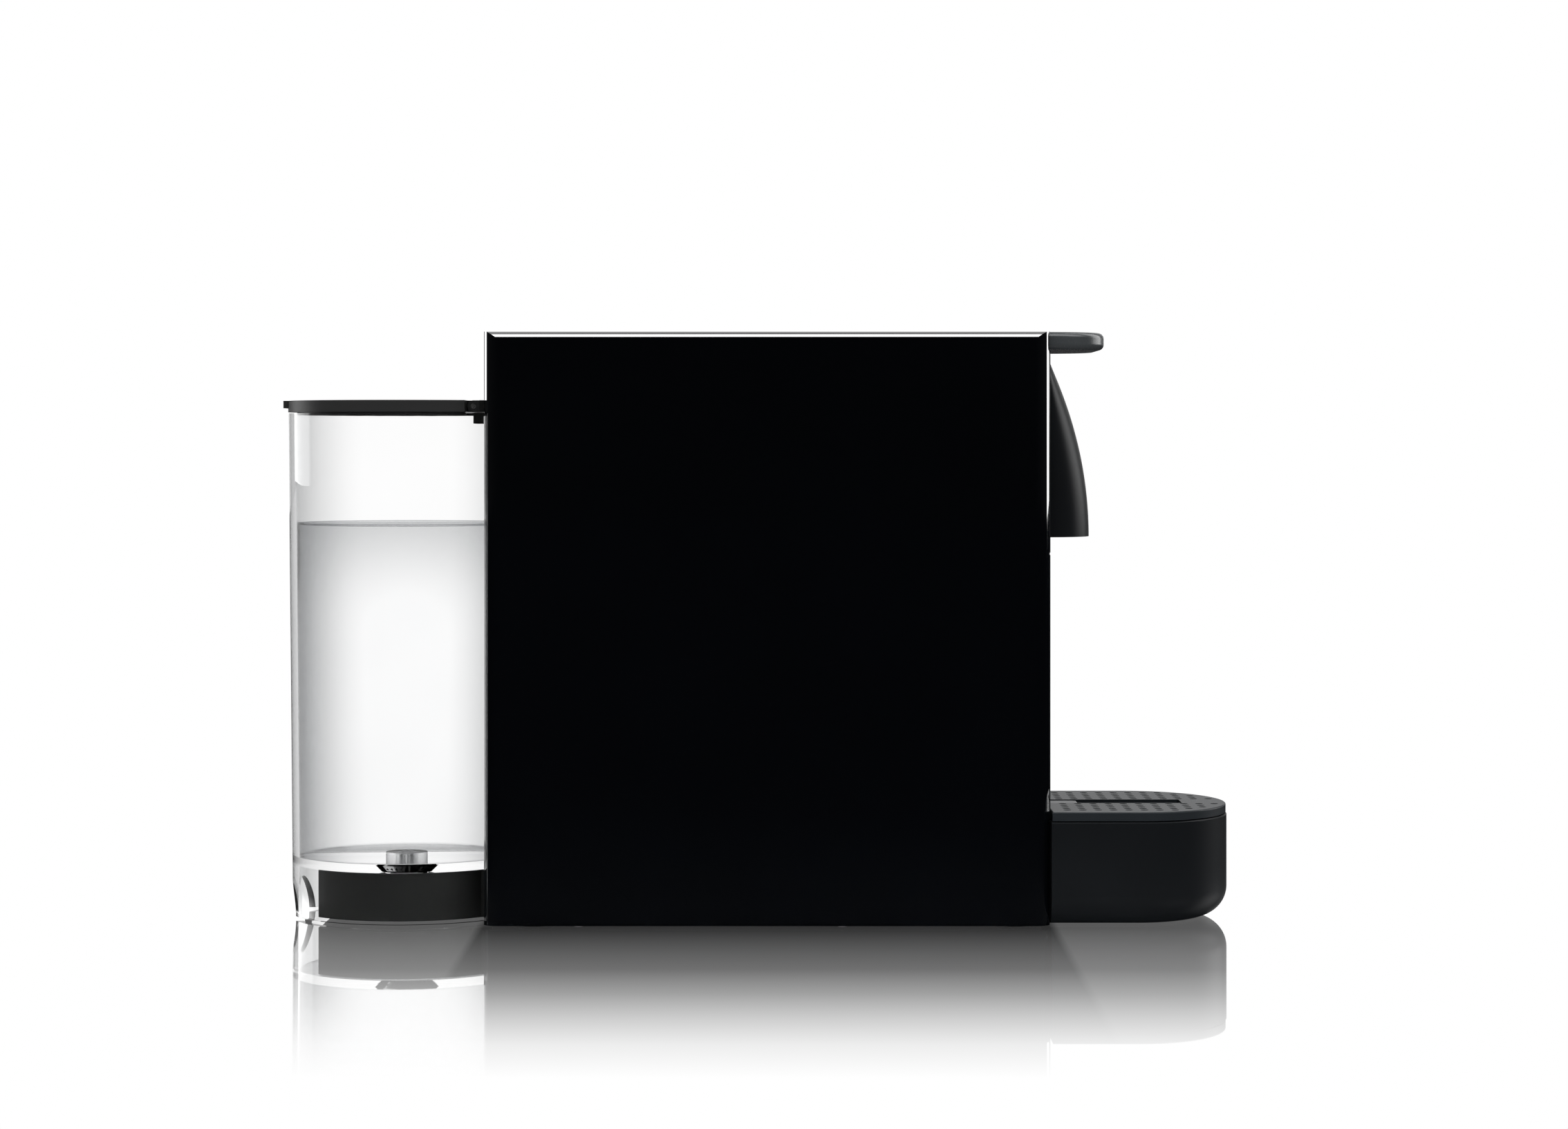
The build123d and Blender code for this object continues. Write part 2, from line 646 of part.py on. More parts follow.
# ---------------------------------------------------------------- dock and water path
def tank_dock():
    dock = post(tank_x, 0, floor_z + 1, dock_top, dock_radius)
    dock &= wide(tank_x - dock_flat, tank_x + 60, 60, 0, top)
    dock += wide(tank_x, rear + dock_step, dock_half_bridge, floor_z + 1, dock_top)
    dock += wide(rear + dock_step, rear + dock_length, dock_half_bridge, plate_top, dock_top)
    dock -= post(tank_x, 0, floor_z + 3, top, dock_pocket)
    return dock - wide(tank_x, rear + 40, 5, connector_z - 4, top)


def tank_connector():
    pipe = rod_x(tank_x, rear + dock_length - 1.8, 0, connector_z, 3.5)
    pipe += post(tank_x, 0, connector_z - 4, connector_z + 2, 5)
    return pipe + post(tank_x, 0, connector_z, poppet_rest - poppet_length - move_gap, 1.4)


def dock_seal():
    ring = post(tank_x, 0, dock_top - 3.8, dock_top - 1.8, dock_pocket - seat_gap)
    return ring - post(tank_x, 0, 0, top, valve_radius + move_gap)


def suction_hose():
    return hose([(rear + dock_length - 1.6, 0, connector_z), (flow_x, 0, connector_z),
                 (flow_x, flow_y - flow_radius - 0.2, connector_z)], hose_radius, hose_bore, 8)


def flow_meter():
    return post(flow_x, flow_y, connector_z - 5.5, connector_z + 5, flow_radius)


def pump_feed_hose():
    return hose([(flow_x, flow_y, connector_z + 5.2), (flow_x, flow_y, pump_z), (flow_x, 5.2, pump_z)],
                hose_radius, hose_bore, 8)


def pump_parts():
    tube_x0, tube_x1 = pump_rear + 12, pump_end - 16
    radius = pump_tube_radius
    inlet = rod_x(flow_x - 5, tube_x0, 0, pump_z, 5) + rod_x(tube_x0 - 4, tube_x0, 0, pump_z, radius)
    tube = rod_x(tube_x0, tube_x1, 0, pump_z, radius)
    coil = rod_x(tube_x0 + 4, tube_x1 - 4, 0, pump_z, coil_radius)
    coil -= rod_x(tube_x0, tube_x1, 0, pump_z, radius + 0.1)
    strap = coil_radius + 0.8
    yoke = wide(tube_x0 + 1.6, tube_x1 - 1.6, 14, pump_z - strap - 2.2, pump_z + strap + 2.2)
    yoke -= wide(tube_x0 + 3.8, tube_x1 - 3.8, 15, pump_z - strap, pump_z + strap)
    yoke -= rod_x(tube_x0 - 1, tube_x1 + 1, 0, pump_z, radius + 0.1)
    outlet = rod_x(tube_x1, pump_end - 8, 0, pump_z, radius - 1)
    outlet += rod_x(pump_end - 8, pump_end, 0, pump_z, 3.6)
    return inlet, tube, coil, yoke, outlet


def pump_mounts():
    mounts = []
    for x in (pump_rear + 1, pump_end - 7.5):
        ring = wide(x, x + 5, 9, plate_top, pump_z + 9)
        inner = 5.1 if x < pump_rear + 10 else 3.7
        mounts.append(ring - rod_x(x - 1, x + 6, 0, pump_z, inner))
    return mounts


def thermoblock():
    heater = wide(block_rear, block_front, heater_half_width, block_low, block_high)
    heater = fillet(heater.edges().filter_by(Axis.X), 4)
    for step in range(5):
        x = block_rear + 6 + step * (block_front - block_rear - 12) / 4
        heater -= wide(x - 1, x + 1, half_width, block_high - 4, block_high + 1)
    return heater


def heater_terminals():
    return [rod_x(block_rear - 8, block_rear, y, block_low + 10, 2.2) for y in (-12, 12)]


def thermostat():
    face = heater_half_width
    disc = rod_y(0, face, face + 6, 0, 8)
    ears = block(-12, 12, face, face + 1.2, -3, 3)
    return Pos((block_rear + block_front) / 2, 0, (block_low + block_high) / 2) * (disc + ears)


def heater_brackets():
    brackets = []
    for x in (block_rear + 6, block_front - 12):
        bracket = wide(x, x + 6, heater_half_width - 2, shelf_z + shelf, block_low)
        window = wide(x - 1, x + 7, heater_half_width - 7, shelf_z + shelf + 2, block_low - 2)
        brackets.append(bracket - window)
    return brackets


def pressure_tube():
    inlet_y, inlet_z = heater_half_width - 12, block_low + 19
    return hose([(pump_end + 0.2, 0, pump_z), (riser_x, 0, pump_z), (riser_x, riser_y, pump_z),
                 (riser_x, riser_y, inlet_z), (riser_x, inlet_y, inlet_z),
                 (block_front + 0.2, inlet_y, inlet_z)], tube_radius, tube_bore, [5, 6, 6, 5])


def injector_tube():
    outlet_x, outlet_z = frame_rear - 8, brew_floor + 9
    return hose([(outlet_x, 0, block_high + 0.2), (outlet_x, 0, outlet_z), (frame_rear + 4, 0, outlet_z)],
                tube_radius, tube_bore, 5)


# ---------------------------------------------------------------- controls
def control_board():
    return wide(button_x - 22, button_x + 15, 29, board_z, board_z + board_thickness)


def board_components():
    pieces = [post(button_x - 14, y, board_z - 14, board_z, 5) for y in (-16, 0)]
    pieces.append(block(button_x - 4, button_x + 12, 6, 24, board_z - 12, board_z))
    pieces.append(block(button_x - 2, button_x + 10, -22, -8, board_z - 5, board_z))
    return pieces


def button_levels():
    flange_top = under_top - move_gap
    return flange_top - 1.2, flange_top


def tact_switches():
    base = board_z + board_thickness
    return [wide(x - 3, x + 3, 3, base, base + 3).moved(Location((0, y, 0)))
            + post(x, y, base + 3, base + 3.8, 1.7) for x, y in button_places()]


def button(y):
    flange_bottom, flange_top = button_levels()
    cap = post(button_x, y, flange_bottom, top - 0.3, button_radius)
    cap = fillet(cap.faces().sort_by(Axis.Z)[-1].edges(), 0.8)
    cap += post(button_x, y, flange_bottom, flange_top, button_radius + 1.6)
    stem_end = board_z + board_thickness + 3.8 + button_travel + move_gap
    return cap + post(button_x, y, stem_end, flange_bottom, 2.0)


def button_spring(y):
    flange_bottom = button_levels()[0]
    return spring(button_x, y, board_z + board_thickness + 0.1, flange_bottom - 0.1, 5.6, 0.35, 4)


# ---------------------------------------------------------------- build
shell = case_shell()
save("side_cover_right", side_cover(-1, shell))
save("side_cover_left", side_cover(1, shell))
save("top_deck", top_deck())
save("rear_panel", rear_panel())
save("front_panel", front_panel())
save("outlet_cowl", outlet_cowl())
save("cord_gland", cord_gland())
save("base_plate", base_plate())
save("rubber_feet", *rubber_feet())
save("base_screws", *base_screws())
save("main_frame", main_frame())
save("brew_frame", brew_frame())
save("frame_screws", *frame_screws())
save("lever", lever())
save("lever_pivot_pins", *both_sides(pivot_pin))
save("lever_drive_pin", lever_drive_pin())
save("capsule_cage", capsule_cage())
save("piercing_needles", *piercing_needles())
save("extraction_plate", extraction_plate())
save("coffee_duct", coffee_duct())
save("coffee_spout", coffee_spout())
save("capsule_chute", capsule_chute())
save("drip_tray", drip_tray())
save("drip_grid", drip_grid())
save("capsule_bin", capsule_bin())
save("bin_tongue", bin_tongue())
save("water_tank", water_tank())
save("tank_lid", tank_lid())
save("lid_hinge_cap", lid_hinge_cap())
save("lid_hinge_pin", lid_hinge_pin())
save("valve_seat", valve_seat())
save("valve_seal", valve_seal())
save("valve_filter", valve_filter())
save("valve_poppet", valve_poppet())
save("tank_dock", tank_dock())
save("tank_connector", tank_connector())
save("dock_seal", dock_seal())
save("suction_hose", suction_hose())
save("flow_meter", flow_meter())
save("pump_feed_hose", pump_feed_hose())
pump_inlet, pump_tube, pump_coil, pump_yoke, pump_outlet = pump_parts()
save("pump_inlet", pump_inlet)
save("pump_tube", pump_tube)
save("pump_coil", pump_coil)
save("pump_yoke", pump_yoke)
save("pump_outlet", pump_outlet)
save("pump_mounts", *pump_mounts())
save("thermoblock", thermoblock())
save("heater_terminals", *heater_terminals())
save("thermostat", thermostat())
save("heater_brackets", *heater_brackets())
save("pressure_tube", pressure_tube())
save("injector_tube", injector_tube())
save("control_board", control_board())
save("board_components", *board_components())
save("tact_switches", *tact_switches())
save("button_espresso", button(-button_spacing / 2))
save("button_lungo", button(button_spacing / 2))
save("spring_espresso", button_spring(-button_spacing / 2))
save("spring_lungo", button_spring(button_spacing / 2))
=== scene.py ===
import json
import math

import bmesh
import bpy
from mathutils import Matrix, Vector


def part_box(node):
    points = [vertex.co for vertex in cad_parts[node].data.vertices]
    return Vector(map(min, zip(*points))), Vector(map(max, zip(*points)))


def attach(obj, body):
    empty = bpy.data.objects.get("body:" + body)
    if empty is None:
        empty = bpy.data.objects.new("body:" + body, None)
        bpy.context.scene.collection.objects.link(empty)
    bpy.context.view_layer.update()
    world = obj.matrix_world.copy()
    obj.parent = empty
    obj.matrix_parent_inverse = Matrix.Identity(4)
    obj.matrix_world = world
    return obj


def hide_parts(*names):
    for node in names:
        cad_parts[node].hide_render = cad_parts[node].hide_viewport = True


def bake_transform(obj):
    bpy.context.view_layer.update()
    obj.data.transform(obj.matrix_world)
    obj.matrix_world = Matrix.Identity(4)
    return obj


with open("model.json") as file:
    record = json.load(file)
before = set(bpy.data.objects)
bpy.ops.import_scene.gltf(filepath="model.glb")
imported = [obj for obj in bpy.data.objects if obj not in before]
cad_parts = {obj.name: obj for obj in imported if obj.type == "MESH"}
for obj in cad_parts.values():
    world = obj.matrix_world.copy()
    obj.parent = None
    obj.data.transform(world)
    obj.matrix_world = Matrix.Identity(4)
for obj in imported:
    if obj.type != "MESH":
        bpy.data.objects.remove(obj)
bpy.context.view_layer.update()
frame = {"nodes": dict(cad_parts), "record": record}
nodes = frame["nodes"]

MM = 0.001
CAMERA_SIDE = 9.9 * MM          # the camera stands a little in front of the machine's middle
CAMERA_HEIGHT = 166 * MM
CAMERA_DISTANCE = 1.36
LENS_MM, SENSOR_MM = 88.6, 36.0
FRAME_SHIFT = -0.0778           # the frame reaches further below the horizon than above it
TANK_WALL = 2.4 * MM
TANK_TAPER = 1.4 * MM           # how much narrower the inside is at the tank's floor
WATER_SHARE = 0.747             # of the way from the tank's floor to its rim
WATER_FILM = 0.12 * MM          # water stands this far inside the tank's wall
WATER_GAP = 0.1 * MM            # between the tank's floor and the water
WATER_BEVEL = 0.6 * MM          # round the water's foot
WATER_RING = 40 * MM            # this ring under the level keeps the shading of the side straight
MENISCUS_HEIGHT = 0.9 * MM      # how far the water climbs the wall
MENISCUS_WIDTH = 2.4 * MM
MENISCUS_STEPS = 6
TABLE_SIZE = 14
SHEEN_REACH = 0.31              # how far in front of the body the tabletop still mirrors it
SHEEN_FADE_BEHIND = 4           # times as fast as in front
SHEEN_PAST_ENDS = 60 * MM       # the mirror fades out over this length past the tank and the tray
SHEEN_BESIDE_BODY = 0.93        # under the tank and the tray, where it is 1 under the body


# ---------------------------------------------------------------- materials
def new_material(name):
    material = bpy.data.materials.new(name)
    material.use_nodes = True
    tree = material.node_tree
    return material, tree, tree.nodes["Principled BSDF"]


def place(tree, scale):
    """Object coordinates in metres, scaled so that one unit is 1 / scale metres."""
    coordinates = tree.nodes.new("ShaderNodeTexCoord")
    mapping = tree.nodes.new("ShaderNodeMapping")
    mapping.inputs["Scale"].default_value = scale if hasattr(scale, "__len__") else (scale,) * 3
    tree.links.new(coordinates.outputs["Object"], mapping.inputs["Vector"])
    return mapping.outputs["Vector"]


def maths(tree, operation, *values):
    """A math node; each value is a number or another node's output."""
    node = tree.nodes.new("ShaderNodeMath")
    node.operation = operation
    for socket, value in zip(node.inputs, values):
        if isinstance(value, (int, float)):
            socket.default_value = value
        else:
            tree.links.new(value, socket)
    return node.outputs[0]


def map_range(tree, value, from_low, from_high, to_low=0.0, to_high=1.0):
    """Maps from_low and from_high to to_low and to_high, and holds the ends."""
    node = tree.nodes.new("ShaderNodeMapRange")
    limits = (from_low, from_high, to_low, to_high)
    for socket, number in zip(("From Min", "From Max", "To Min", "To Max"), limits):
        node.inputs[socket].default_value = number
    tree.links.new(value, node.inputs["Value"])
    return node.outputs["Result"]


def noise(tree, scale, detail=2.0, roughness=0.5):
    texture = tree.nodes.new("ShaderNodeTexNoise")
    texture.inputs["Scale"].default_value = 1.0
    texture.inputs["Detail"].default_value = detail
    texture.inputs["Roughness"].default_value = roughness
    tree.links.new(place(tree, scale), texture.inputs["Vector"])
    return texture.outputs["Fac"]


def spread(tree, value, low, high):
    """Maps the middle of a noise, 0.3 to 0.7, to low and high."""
    return map_range(tree, value, 0.3, 0.7, low, high)


def blend_colours(tree, value, first, second):
    """first where the value is low, second where it is high."""
    ramp = tree.nodes.new("ShaderNodeValToRGB")
    ramp.color_ramp.elements[0].position, ramp.color_ramp.elements[1].position = 0.35, 0.65
    ramp.color_ramp.elements[0].color = (*first, 1)
    ramp.color_ramp.elements[1].color = (*second, 1)
    tree.links.new(value, ramp.inputs["Fac"])
    return ramp.outputs["Color"]


def bump(tree, shader, height, strength, distance):
    node = tree.nodes.new("ShaderNodeBump")
    node.inputs["Strength"].default_value = strength
    node.inputs["Distance"].default_value = distance
    tree.links.new(height, node.inputs["Height"])
    tree.links.new(node.outputs["Normal"], shader.inputs["Normal"])


def moulded(name, colour, roughness, grain=0.35, grain_size=0.35, shift=0.12, specular=0.5, coat=0.0):
    """Moulded plastic or rubber: spark-eroded grain, uneven roughness and a slight drift of colour."""
    material, tree, shader = new_material(name)
    drift = noise(tree, 22.0, 3.0)
    lighter = [min(1.0, c * (1 + shift)) for c in colour]
    darker = [c * (1 - shift) for c in colour]
    tree.links.new(blend_colours(tree, drift, darker, lighter), shader.inputs["Base Color"])
    fine = noise(tree, 1 / (grain_size * MM), 2.0, 0.6)
    uneven = spread(tree, fine, roughness * 0.9, min(1.0, roughness * 1.1))
    tree.links.new(uneven, shader.inputs["Roughness"])
    if grain:
        bump(tree, shader, fine, grain, 0.03 * MM)
    shader.inputs["Specular IOR Level"].default_value = specular
    if coat:
        shader.inputs["Coat Weight"].default_value = coat
        shader.inputs["Coat Roughness"].default_value = 0.02
    return material


def turned(name, colour, roughness, stretch):
    """Metal with fine drawn or turned lines; stretch gives the lines' spacing along each axis."""
    material, tree, shader = new_material(name)
    lines = noise(tree, stretch, 4.0, 0.7)
    tone = blend_colours(tree, noise(tree, 60.0, 3.0), [c * 0.85 for c in colour], colour)
    tree.links.new(tone, shader.inputs["Base Color"])
    tree.links.new(spread(tree, lines, roughness * 0.7, roughness * 1.4), shader.inputs["Roughness"])
    shader.inputs["Metallic"].default_value = 1.0
    bump(tree, shader, lines, 0.15, 0.02 * MM)
    return material


def clear(name, tint, edge, reach, ior, roughness, ripple=0.04):
    """Clear plastic or water; parts seen at a low angle, over the range in reach, turn from tint to edge, a
    darker colour that is painted shade standing in for the darkening refraction would give at the rims.
    """
    material, tree, shader = new_material(name)
    tone = blend_colours(tree, noise(tree, 15.0, 2.0), [c * 0.985 for c in tint], tint)
    # painted shade: Layer Weight darkens the colour where the surface is seen at a low angle, in place of
    # refraction
    facing = tree.nodes.new("ShaderNodeLayerWeight")
    facing.inputs["Blend"].default_value = 0.5
    mix = tree.nodes.new("ShaderNodeMix")
    mix.data_type = "RGBA"
    tree.links.new(map_range(tree, facing.outputs["Facing"], *reach), mix.inputs["Factor"])
    tree.links.new(tone, mix.inputs["A"])
    mix.inputs["B"].default_value = (*edge, 1)
    tree.links.new(mix.outputs["Result"], shader.inputs["Base Color"])
    shader.inputs["Specular Tint"].default_value = (0.06, 0.06, 0.06, 1)
    shader.inputs["Transmission Weight"].default_value = 1.0
    shader.inputs["IOR"].default_value = ior
    flow = noise(tree, (60.0, 60.0, 14.0), 2.0)
    tree.links.new(spread(tree, flow, roughness, roughness * 3 + 0.002), shader.inputs["Roughness"])
    bump(tree, shader, flow, ripple, 0.2 * MM)
    return material


MATERIALS = {
    "gloss_black": moulded("gloss_black", (0.0006, 0.0008, 0.0012), 0.04,
                           grain=0, shift=0.1, specular=1.0, coat=1.0),
    "satin_black": moulded("satin_black", (0.008, 0.0083, 0.0088), 0.3, grain=0.2, specular=0.2),
    "matte_black": moulded("matte_black", (0.006, 0.0064, 0.0072), 0.42, grain=0.3, specular=0.1),
    "cowl_black": moulded("cowl_black", (0.0040, 0.0045, 0.0051), 0.36, grain=0.15, specular=0.035),
    "tray_black": moulded("tray_black", (0.0040, 0.0046, 0.0053), 0.42, grain=0.2, specular=0.03),
    "grid_black": moulded("grid_black", (0.0105, 0.0125, 0.0145), 0.38, grain=0.2, specular=0.05),
    "dock_black": moulded("dock_black", (0.016, 0.017, 0.0165), 0.5, grain=0.35, specular=0.06),
    "lever_grey": moulded("lever_grey", (0.03, 0.033, 0.035), 0.26, grain=0.1, specular=0.2),
    "lid_grey": moulded("lid_grey", (0.021, 0.0212, 0.0212), 0.38, grain=0.2, specular=0.08),
    "tongue_grey": moulded("tongue_grey", (0.028, 0.030, 0.033), 0.4, specular=0.2),
    "button_grey": moulded("button_grey", (0.02, 0.02, 0.021), 0.35, grain=0.2, specular=0.25),
    "inner_grey": moulded("inner_grey", (0.05, 0.051, 0.053), 0.5),
    "component_dark": moulded("component_dark", (0.015, 0.015, 0.018), 0.45),
    "coil_resin": moulded("coil_resin", (0.03, 0.02, 0.015), 0.5),
    "circuit_green": moulded("circuit_green", (0.01, 0.09, 0.035), 0.3, grain=0.1),
    # valve_grey, clear_plastic and water: the second colour is painted shade at the rims, where refraction
    # would darken them
    "valve_grey": clear("valve_grey", (0.93, 0.935, 0.94), (0.82, 0.83, 0.84), (0.1, 0.8), 1.2, 0.2),
    "rubber": moulded("rubber", (0.009, 0.009, 0.009), 0.7, grain=0.5, specular=0.1),
    "silicone": moulded("silicone", (0.55, 0.54, 0.5), 0.45, grain=0.2),
    "steel": turned("steel", (0.58, 0.58, 0.57), 0.3, (300, 4000, 300)),
    "zinc": turned("zinc", (0.55, 0.57, 0.6), 0.35, (600, 600, 3000)),
    "brass": turned("brass", (0.7, 0.5, 0.2), 0.3, (3000, 300, 300)),
    "cast_aluminium": turned("cast_aluminium", (0.6, 0.61, 0.62), 0.5, (900, 900, 900)),
    "clear_plastic": clear("clear_plastic", (0.998, 0.998, 0.998), (0.56, 0.565, 0.57),
                           (0.08, 0.8), 1.32, 0.0),
}
# the water's dark edge colour is painted shade at its rims, in place of refraction
WATER = clear("water", (0.976, 0.978, 0.980), (0.36, 0.37, 0.38), (0.08, 1.0), 1.012, 0.0, ripple=0.0)


def dress_cad_nodes():
    """Each CAD node gets the material of its slot in the record."""
    for part in frame["record"]["subparts"]:
        piece = nodes[part["node"]]
        piece.data.materials.clear()
        piece.data.materials.append(MATERIALS[part["material_slot"]])


# ---------------------------------------------------------------- pieces
def solid_of_revolution(name, centre, outline, steps=160):
    """outline is (radius, height) points from the axis at the bottom to the axis at the top."""
    mesh = bmesh.new()
    rings = []
    for radius, height in outline:
        if radius < 1e-7:
            rings.append([mesh.verts.new((centre.x, centre.y, height))])
            continue
        ring = []
        for step in range(steps):
            turn = 2 * math.pi * step / steps
            ring.append(mesh.verts.new((centre.x + radius * math.cos(turn),
                                        centre.y + radius * math.sin(turn), height)))
        rings.append(ring)
    for low, high in zip(rings, rings[1:]):
        for step in range(steps):
            after = (step + 1) % steps
            if len(low) == 1:
                mesh.faces.new((low[0], high[after], high[step]))
            elif len(high) == 1:
                mesh.faces.new((low[step], low[after], high[0]))
            else:
                mesh.faces.new((low[step], low[after], high[after], high[step]))
    bmesh.ops.recalc_face_normals(mesh, faces=mesh.faces)
    data = bpy.data.meshes.new(name)
    mesh.to_mesh(data)
    mesh.free()
    data.polygons.foreach_set("use_smooth", [True] * len(data.polygons))
    piece = bpy.data.objects.new(name, data)
    bpy.context.scene.collection.objects.link(piece)
    return piece


def tank_sizes():
    """The tank's axis, floor, rim and inside radius at both, measured on its node."""
    low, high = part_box("water_tank")
    axis = Vector(((low.x + high.x) / 2, 0, 0))
    rim_radius = (high.x - low.x) / 2 - TANK_WALL
    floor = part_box("valve_filter")[0].z
    return axis, floor, high.z, rim_radius - TANK_TAPER, rim_radius


def make_water():
    """The tank's water, with a surface that curls up where it meets the wall."""
    axis, floor, rim, low_radius, high_radius = tank_sizes()
    bottom = floor + WATER_GAP
    level = floor + WATER_SHARE * (rim - floor)
    slope = (high_radius - low_radius) / (rim - floor)

    def inside(height):
        return low_radius + slope * (height - floor) - WATER_FILM

    ring = level - WATER_RING
    outline = [(0, bottom), (inside(bottom) - WATER_BEVEL, bottom), (inside(bottom), bottom + WATER_BEVEL),
               (inside(ring), ring), (inside(level) - 0.02 * MM, level + MENISCUS_HEIGHT)]
    for step in range(1, MENISCUS_STEPS + 1):
        share = step / MENISCUS_STEPS
        curl = MENISCUS_HEIGHT * (1 - share) ** 2.5
        outline.append((inside(level) - MENISCUS_WIDTH * share, level + curl))
    outline.append((0, level))
    water = solid_of_revolution("tank_water", axis, outline)
    water.data.materials.append(WATER)
    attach(water, "tank")


def make_springs():
    """Each button spring becomes a mesh of its own, copied from its node where it stands; the node itself is
    hidden.
    """
    for node, key in (("spring_espresso", "espresso_key"), ("spring_lungo", "lungo_key")):
        mesh = nodes[node].data.copy()
        mesh.transform(nodes[node].matrix_world)
        coil = bpy.data.objects.new(node + "_coil", mesh)
        bpy.context.scene.collection.objects.link(coil)
        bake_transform(coil)
        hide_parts(node)


# ---------------------------------------------------------------- stage
def grey_ramp(tree, value, stops):
    """Grey, or brighter than white, at each (position, brightness) stop."""
    ramp = tree.nodes.new("ShaderNodeValToRGB")
    elements = ramp.color_ramp.elements
    while len(elements) < len(stops):
        elements.new(0.5)
    for element, (position, brightness) in zip(elements, stops):
        element.position = position
        element.color = (brightness, brightness, brightness, 1)
    tree.links.new(value, ramp.inputs["Fac"])
    return ramp.outputs["Color"]


def choose(tree, flag, yes, no):
    """The yes colour where the flag is 1, else the no colour; white if yes is None."""
    node = tree.nodes.new("ShaderNodeMix")
    node.data_type = "RGBA"
    tree.links.new(flag, node.inputs["Factor"])
    tree.links.new(no, node.inputs["A"])
    if yes is None:
        node.inputs["B"].default_value = (1, 1, 1, 1)
    else:
        tree.links.new(yes, node.inputs["B"])
    return node.outputs["Result"]


def mirrored_studio(tree, azimuth, height, side, up):
    """What glossy surfaces see: a dark room with two tall side strips and a soft light overhead."""
    strips = grey_ramp(tree, azimuth, [(0.0, 1.0), (0.10, 1.0), (0.15, 0.05), (0.235, 0.05),
                                       (0.25, 5.5), (0.41, 5.5), (0.435, 0.02), (1.0, 0.003)])
    # pitch is 0 level towards -Y, 0.5 straight up and 1 level towards +Y
    turn = maths(tree, "ARCTAN2", maths(tree, "ABSOLUTE", up), maths(tree, "MULTIPLY", side, -1.0))
    pitch = maths(tree, "DIVIDE", turn, math.pi)
    band = grey_ramp(tree, pitch, [(0.0, 0.0), (0.19, 0.0), (0.22, 9.0), (0.42, 9.0), (0.46, 0.15),
                                   (0.85, 0.15), (0.9, 0.0)])
    above = grey_ramp(tree, height, [(0.0, 0.0), (0.66, 0.0), (0.74, 1.0), (1.0, 1.0)])
    both = tree.nodes.new("ShaderNodeMix")
    both.data_type, both.blend_type = "RGBA", "ADD"
    both.inputs["Factor"].default_value = 1.0
    tree.links.new(strips, both.inputs["A"])
    tree.links.new(maths(tree, "MULTIPLY", band, above), both.inputs["B"])
    return both.outputs["Result"]


def make_world():
    """White behind the machine; mirrored, refracted and soft light each come from their own studio."""
    world = bpy.data.worlds.new("studio")
    bpy.context.scene.world = world
    world.use_nodes = True
    tree = world.node_tree
    tree.nodes.clear()
    split = tree.nodes.new("ShaderNodeSeparateXYZ")
    tree.links.new(tree.nodes.new("ShaderNodeTexCoord").outputs["Generated"], split.inputs[0])
    along, side, up = split.outputs

    # azimuth is 0 towards +Y and 1 towards -Y, the same on both sides
    squares = maths(tree, "ADD", maths(tree, "MULTIPLY", along, along), maths(tree, "MULTIPLY", side, side))
    level = maths(tree, "MAXIMUM", maths(tree, "SQRT", squares), 1e-4)
    turn = maths(tree, "ARCCOSINE", maths(tree, "DIVIDE", side, level))
    azimuth = maths(tree, "DIVIDE", turn, math.pi)
    height = maths(tree, "MULTIPLY_ADD", up, 0.5, 0.5)

    mirrored = mirrored_studio(tree, azimuth, height, side, up)
    refracted = grey_ramp(tree, azimuth, [(0.0, 1.0), (0.12, 0.98), (0.3, 0.62), (0.6, 0.4), (1.0, 0.5)])
    soft = grey_ramp(tree, height, [(0.0, 0.25), (0.45, 0.4), (0.7, 0.9), (1.0, 1.6)])
    path = tree.nodes.new("ShaderNodeLightPath").outputs
    seen = choose(tree, path["Is Glossy Ray"], mirrored, soft)
    seen = choose(tree, path["Is Transmission Ray"], refracted, seen)
    seen = choose(tree, path["Is Camera Ray"], None, seen)
    background = tree.nodes.new("ShaderNodeBackground")
    tree.links.new(seen, background.inputs["Color"])
    output = tree.nodes.new("ShaderNodeOutputWorld")
    tree.links.new(background.outputs[0], output.inputs["Surface"])


def fall_off(tree, along, low, high, width, outside):
    """1 between low and high, falling to its outside value over width."""
    distance = maths(tree, "ABSOLUTE", maths(tree, "SUBTRACT", along, (low + high) / 2))
    edge = (high - low) / 2
    return map_range(tree, distance, edge, edge + width, 1.0, outside)


def sheen_share(tree):
    """How much of a mirror the tabletop is: most at low angles, fading with distance from the machine."""
    split = tree.nodes.new("ShaderNodeSeparateXYZ")
    tree.links.new(place(tree, 1.0), split.inputs[0])
    along, side = split.outputs[0], split.outputs[1]
    low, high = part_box("side_cover_right")
    half_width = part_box("side_cover_left")[1].y

    behind = maths(tree, "MULTIPLY_ADD", side, SHEEN_FADE_BEHIND, (1 - SHEEN_FADE_BEHIND) * half_width)
    distance = maths(tree, "MAXIMUM", behind, maths(tree, "MULTIPLY", side, -1.0))
    near = map_range(tree, distance, half_width + SHEEN_REACH, half_width)
    near = grey_ramp(tree, near, [(0.0, 0.0), (0.18, 0.15), (0.33, 0.38), (0.5, 0.65),
                                  (0.67, 0.84), (1.0, 0.972)])
    slope = tree.nodes.new("ShaderNodeLayerWeight").outputs["Facing"]
    low_angle = map_range(tree, slope, 0.35, 0.8, 0.08, 1.0)
    body = fall_off(tree, along, low.x, high.x, 3 * MM, SHEEN_BESIDE_BODY)
    back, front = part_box("water_tank")[0].x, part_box("drip_tray")[1].x
    ends = fall_off(tree, along, back, front, SHEEN_PAST_ENDS, 0.0)
    share = maths(tree, "MULTIPLY", near, low_angle)
    return maths(tree, "MULTIPLY", share, maths(tree, "MULTIPLY", body, ends))


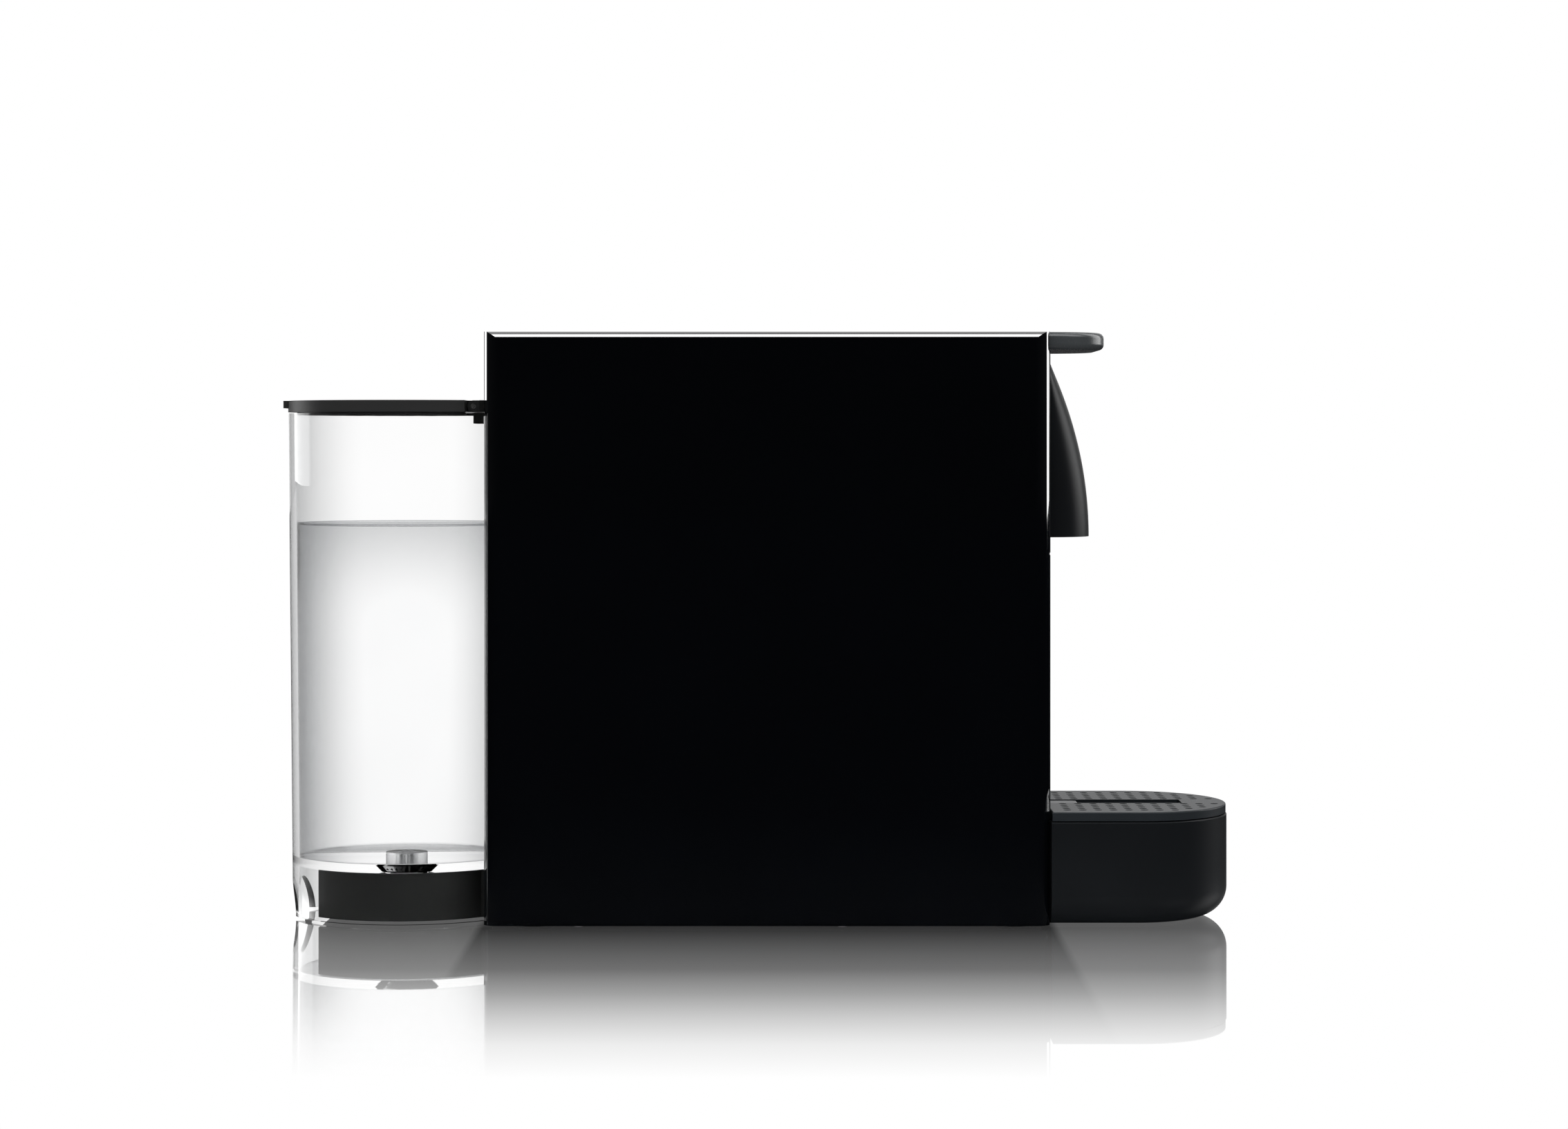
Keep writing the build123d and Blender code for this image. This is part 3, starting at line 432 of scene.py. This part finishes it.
def mix_shaders(tree, share, first, second):
    mix = tree.nodes.new("ShaderNodeMixShader")
    for socket, output in zip(mix.inputs, (share, first, second)):
        tree.links.new(output, socket)
    return mix.outputs[0]


def glow(tree, colour):
    node = tree.nodes.new("ShaderNodeEmission")
    node.inputs["Color"].default_value = (*colour, 1)
    return node.outputs[0]


def make_floor():
    """A white tabletop that glows, with a mirror sheen; glossy pieces see it as a near-black glow, a painted
    dark reflection.
    """
    bpy.ops.mesh.primitive_plane_add(size=TABLE_SIZE, location=(0, 0, 0))
    floor = bpy.context.object
    floor.name = "floor"
    material, tree, shader = new_material("floor")
    tree.nodes.remove(shader)
    path = tree.nodes.new("ShaderNodeLightPath").outputs
    # painted dark reflection: to reflected glossy rays the tabletop glows near black instead of white
    mirrored = maths(tree, "MULTIPLY", path["Is Glossy Ray"], path["Is Reflection Ray"])
    glow_dark_in_reflections = mix_shaders(tree, mirrored, glow(tree, (1, 1, 1)), glow(tree, (0.004, 0.004, 0.005)))
    gloss = tree.nodes.new("ShaderNodeBsdfGlossy")
    gloss.inputs["Roughness"].default_value = 0.015
    gloss.inputs["Color"].default_value = (1, 1, 1, 1)
    surface = mix_shaders(tree, sheen_share(tree), glow_dark_in_reflections, gloss.outputs[0])
    tree.links.new(surface, tree.nodes["Material Output"].inputs["Surface"])
    floor.data.materials.append(material)


def area_light(name, position, target, size, power):
    """A soft rectangle of light aimed at target, unseen in reflections; size in metres, power in watts."""
    data = bpy.data.lights.new(name, "AREA")
    data.shape, data.size, data.size_y, data.energy = "RECTANGLE", size[0], size[1], power
    light = bpy.data.objects.new(name, data)
    light.location = position
    light.rotation_euler = (Vector(target) - Vector(position)).to_track_quat("-Z", "Y").to_euler()
    light.visible_glossy = False
    bpy.context.scene.collection.objects.link(light)


def make_lights():
    area_light("key", (0.6, -0.9, 1.3), (0.05, 0, 0.1), (0.9, 0.5), 9)
    area_light("front_rim", (1.3, 0.2, 0.5), (0.1, 0, 0.1), (0.5, 0.9), 1.5)


def make_camera():
    """A level camera in front of the machine's right side."""
    data = bpy.data.cameras.new("camera")
    data.lens, data.sensor_width, data.shift_y = LENS_MM, SENSOR_MM, FRAME_SHIFT
    data.clip_start, data.clip_end = 0.01, 50
    camera = bpy.data.objects.new("camera", data)
    camera.location = (CAMERA_SIDE, -CAMERA_DISTANCE, CAMERA_HEIGHT)
    camera.rotation_euler = (math.pi / 2, 0, 0)
    bpy.context.scene.collection.objects.link(camera)
    bpy.context.scene.camera = camera


dress_cad_nodes()
make_water()
make_springs()
make_world()
make_floor()
make_lights()
make_camera()
bpy.context.scene.view_settings.view_transform = "Standard"
